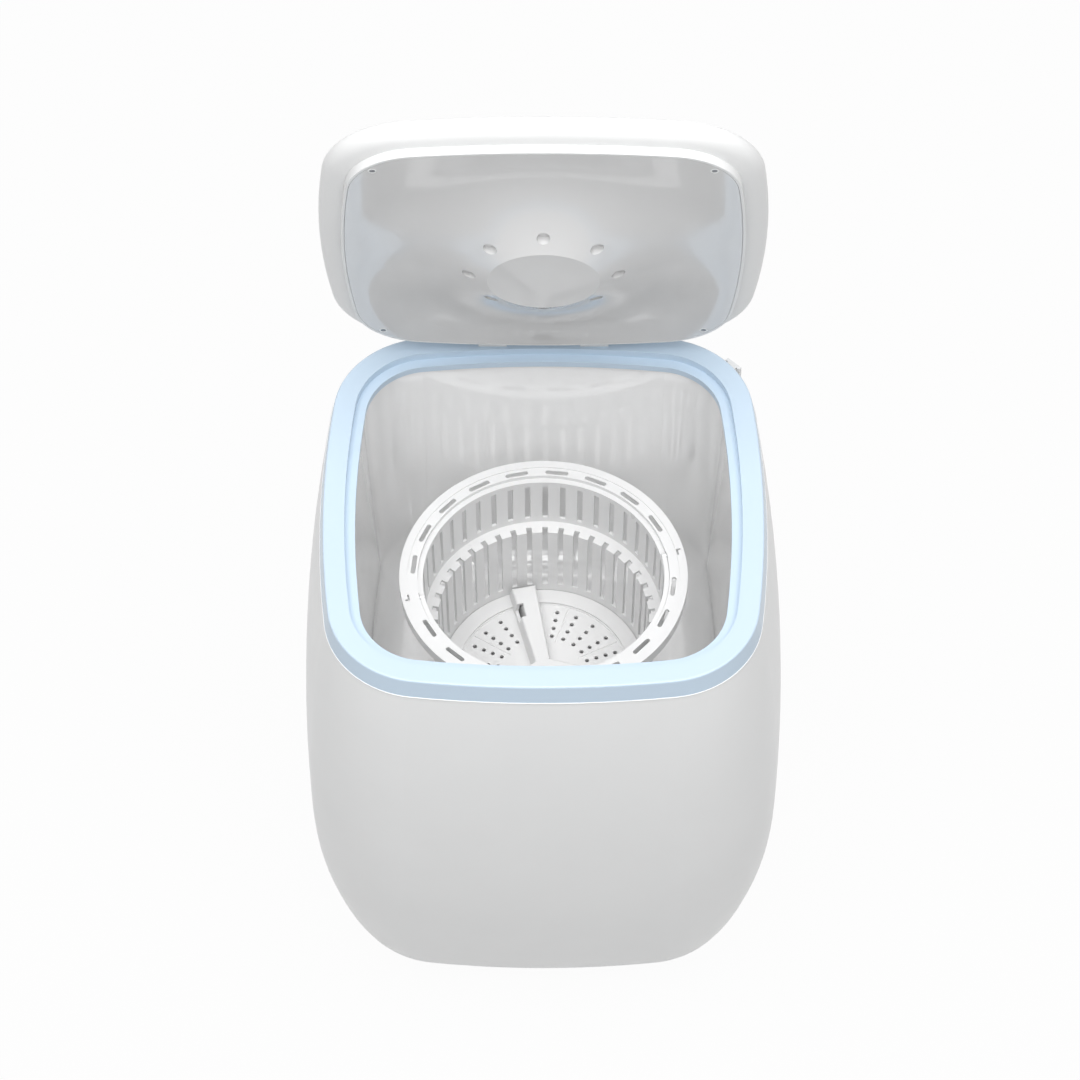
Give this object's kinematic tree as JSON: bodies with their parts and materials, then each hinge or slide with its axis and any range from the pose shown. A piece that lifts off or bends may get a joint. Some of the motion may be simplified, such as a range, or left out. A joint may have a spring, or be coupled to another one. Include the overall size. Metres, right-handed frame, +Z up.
{
  "type": "top-loading washing machine",
  "caption": "Compact barrel-shaped top-loading washing machine with a hinged lid, a square tub and a lift-out slotted spin basket over a belt-driven pulsator.",
  "frame": {"origin": "on the floor, on the drive axis, in the middle of the feet", "axes": "+Z up along the drive axis, the front towards -Y, +X to the right as seen from the front"},
  "size_m": [0.394, 0.3996, 0.7991],
  "materials": {
    "white_gloss": "glossy white moulded plastic",
    "ring_blue": "glossy pale blue moulded plastic",
    "tub_white": "glossy white moulded plastic",
    "panel_white": "smooth off-white moulded plastic",
    "basket_white": "satin white moulded plastic",
    "rubber": "black rubber",
    "steel": "bright steel",
    "cast_alloy": "cast aluminium",
    "bronze": "sintered bronze",
    "motor_paint": "dark grey paint",
    "dark_plastic": "dark grey plastic",
    "board_green": "green circuit board",
    "laminations": "steel laminations"
  },
  "bodies": {
    "cabinet": {"body_shell": "white_gloss", "grip_cup_right": "white_gloss", "grip_cup_left": "white_gloss", "hose_cleat": "white_gloss", "base_tray": "white_gloss", "rubber_feet": "rubber", "tray_screws": "steel", "rim_ring": "ring_blue", "wash_tub": "tub_white", "rim_gasket": "rubber", "rim_screws": "steel", "bearing_housing": "cast_alloy", "lower_bush": "bronze", "upper_bush": "bronze", "shaft_seal": "rubber", "housing_screws": "steel", "drive_belt": "rubber", "motor_bracket": "steel", "bracket_posts": "steel", "bracket_bolts": "steel", "motor_can": "motor_paint", "motor_stator": "laminations", "motor_grommets": "rubber", "motor_bolts": "steel", "motor_nuts": "steel", "run_capacitor": "dark_plastic", "capacitor_clip": "dark_plastic", "drain_valve": "dark_plastic", "valve_coil": "motor_paint", "drain_pipe": "rubber", "outlet_spigot": "dark_plastic", "mains_gland": "dark_plastic", "gland_nut": "dark_plastic", "board_carrier": "white_gloss", "touch_board": "board_green", "hinge_bracket_right": "white_gloss", "hinge_bracket_left": "white_gloss", "hinge_pins": "steel", "hinge_screws": "steel"},
    "lid": {"lid_shell": "white_gloss", "lid_panel": "panel_white", "lid_screws": "steel", "lid_hinge_arms": "white_gloss"},
    "pulsator": {"pulsator": "basket_white", "pulsator_screw": "steel", "drive_shaft": "steel", "driven_pulley": "dark_plastic", "pulley_nut": "steel"},
    "basket": {"basket_ring": "basket_white", "basket_wall": "basket_white", "basket_base": "basket_white", "handle_pins": "steel"},
    "handle": {"basket_handle": "basket_white"},
    "motor_rotor": {"motor_rotor": "laminations", "motor_shaft": "steel", "motor_pulley": "dark_plastic"}
  },
  "joints": [
    {"name": "lid_hinge", "type": "hinge", "parent": "cabinet", "child": "lid", "pos_m": [0, 0.1687, 0.463], "axis": [-1, 0, 0], "range_deg": [-77.3, 17.7]},
    {"name": "pulsator_spin", "type": "hinge", "parent": "cabinet", "child": "pulsator", "pos_m": [0, 0, 0.213], "axis": [0, 0, 1], "continuous": true},
    {"name": "basket_lift", "type": "slide", "parent": "pulsator", "child": "basket", "axis": [0, 0, 1], "range_m": [0, 0.05]},
    {"name": "handle_swing", "type": "hinge", "parent": "basket", "child": "handle", "pos_m": [0, 0, 0.359], "axis": [-0.9781, -0.2079, 0], "range_deg": [0, 180]},
    {"name": "motor_spin", "type": "hinge", "parent": "cabinet", "child": "motor_rotor", "pos_m": [0, -0.095, 0.16], "axis": [0, 0, 1], "continuous": true}
  ],
  "couplings": [
    {"joint": "motor_spin", "follows": "pulsator_spin", "ratio": 4.3846}
  ]
}
